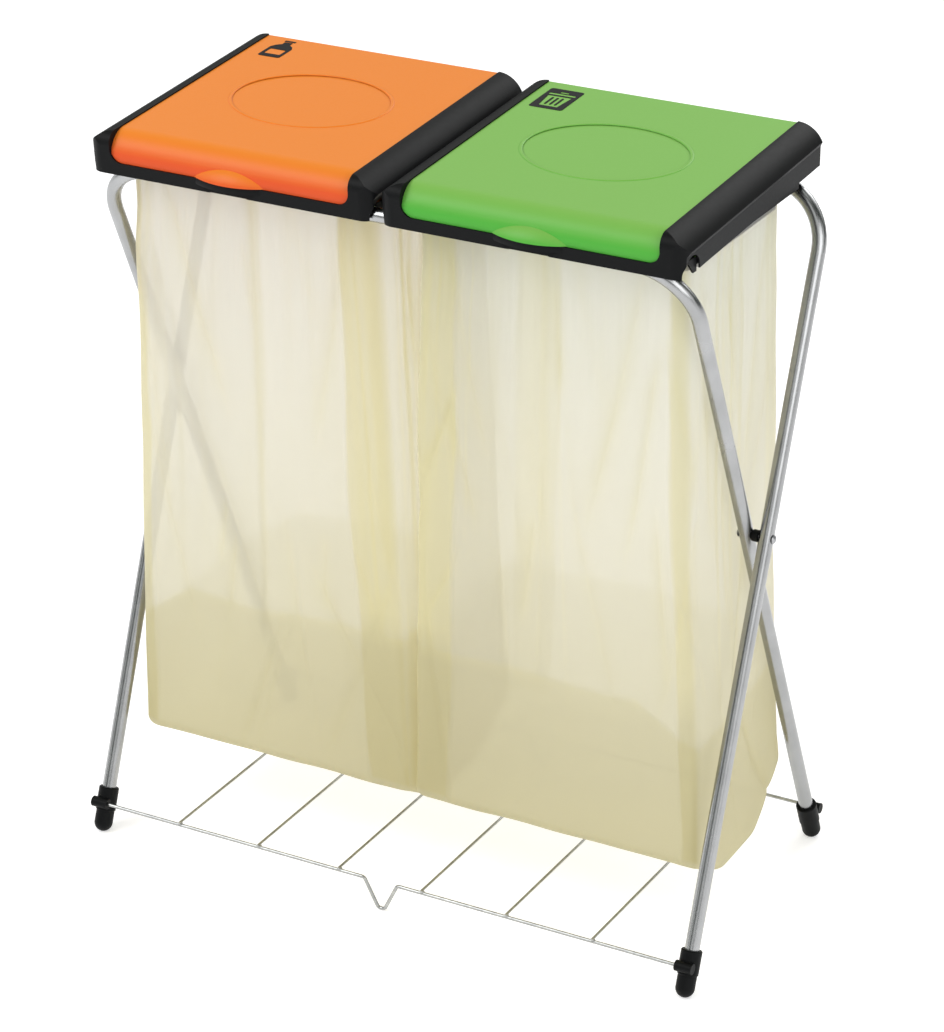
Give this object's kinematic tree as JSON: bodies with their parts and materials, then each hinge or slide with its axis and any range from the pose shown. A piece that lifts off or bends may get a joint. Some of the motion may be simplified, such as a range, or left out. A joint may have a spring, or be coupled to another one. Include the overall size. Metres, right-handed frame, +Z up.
{
  "type": "folding recycling sack holder",
  "caption": "Folding tube stand that hangs waste sacks from mouth rings, with hinged lids over them and a wire shelf between the feet.",
  "frame": {"origin": "on the floor, midway between the four feet, below the pivots of the crossed legs", "axes": "+X to the right along the top bars, +Y from the front to the back, +Z up"},
  "size_m": [0.767, 0.3858, 0.8583],
  "materials": {
    "bright_tube": "bright plated steel tube",
    "bright_wire": "bright plated steel wire",
    "rivet_steel": "zinc plated rivet",
    "black_plastic": "moulded black plastic, satin",
    "orange_plastic": "moulded orange plastic, satin gloss",
    "green_plastic": "moulded green plastic, satin gloss",
    "yellow_film": "thin translucent yellow film"
  },
  "bodies": {
    "outer_frame": {"outer_tube_frame": "bright_tube", "front_foot_left": "black_plastic", "front_foot_right": "black_plastic", "pivot_rivet_left": "rivet_steel", "pivot_rivet_right": "rivet_steel", "pivot_spacer_left": "black_plastic", "pivot_spacer_right": "black_plastic", "sack_left": "yellow_film", "sack_right": "yellow_film"},
    "inner_frame": {"inner_tube_frame": "bright_tube", "rear_foot_left": "black_plastic", "rear_foot_right": "black_plastic"},
    "shelf": {"shelf_front_wire": "bright_wire", "shelf_rear_wire": "bright_wire", "cross_wire_1": "bright_wire", "cross_wire_2": "bright_wire", "cross_wire_3": "bright_wire", "cross_wire_4": "bright_wire", "cross_wire_5": "bright_wire", "cross_wire_6": "bright_wire"},
    "ring_left": {"mouth_ring_left": "black_plastic"},
    "ring_right": {"mouth_ring_right": "black_plastic"},
    "lid_left": {"lid_frame_left": "black_plastic", "lid_panel_left": "orange_plastic"},
    "lid_right": {"lid_frame_right": "black_plastic", "lid_panel_right": "green_plastic"}
  },
  "joints": [
    {"name": "fold", "type": "hinge", "parent": "outer_frame", "child": "inner_frame", "pos_m": [0, 0, 0.459], "axis": [-1, 0, 0], "range_deg": [0, 40], "deforming": ["sack_left", "sack_right"]},
    {"name": "shelf_fold", "type": "hinge", "parent": "outer_frame", "child": "shelf", "pos_m": [0, -0.1847, 0.0365], "axis": [1, 0, 0], "range_deg": [0, 62.5]},
    {"name": "ring_left_tilt", "type": "hinge", "parent": "outer_frame", "child": "ring_left", "pos_m": [0, 0.1385, 0.8], "axis": [-1, 0, 0], "range_deg": [0, 106.5]},
    {"name": "ring_right_tilt", "type": "hinge", "parent": "outer_frame", "child": "ring_right", "pos_m": [0, 0.1385, 0.8], "axis": [-1, 0, 0], "range_deg": [0, 106.5]},
    {"name": "lid_left_open", "type": "hinge", "parent": "ring_left", "child": "lid_left", "pos_m": [0, 0.1575, 0.844], "axis": [-1, 0, 0], "range_deg": [0, 105]},
    {"name": "lid_right_open", "type": "hinge", "parent": "ring_right", "child": "lid_right", "pos_m": [0, 0.1575, 0.844], "axis": [-1, 0, 0], "range_deg": [0, 105]}
  ],
  "couplings": [
    {"joint": "shelf_fold", "follows": "fold", "ratio": 1.55},
    {"joint": "ring_left_tilt", "follows": "fold", "ratio": 2.65},
    {"joint": "ring_right_tilt", "follows": "fold", "ratio": 2.65}
  ]
}
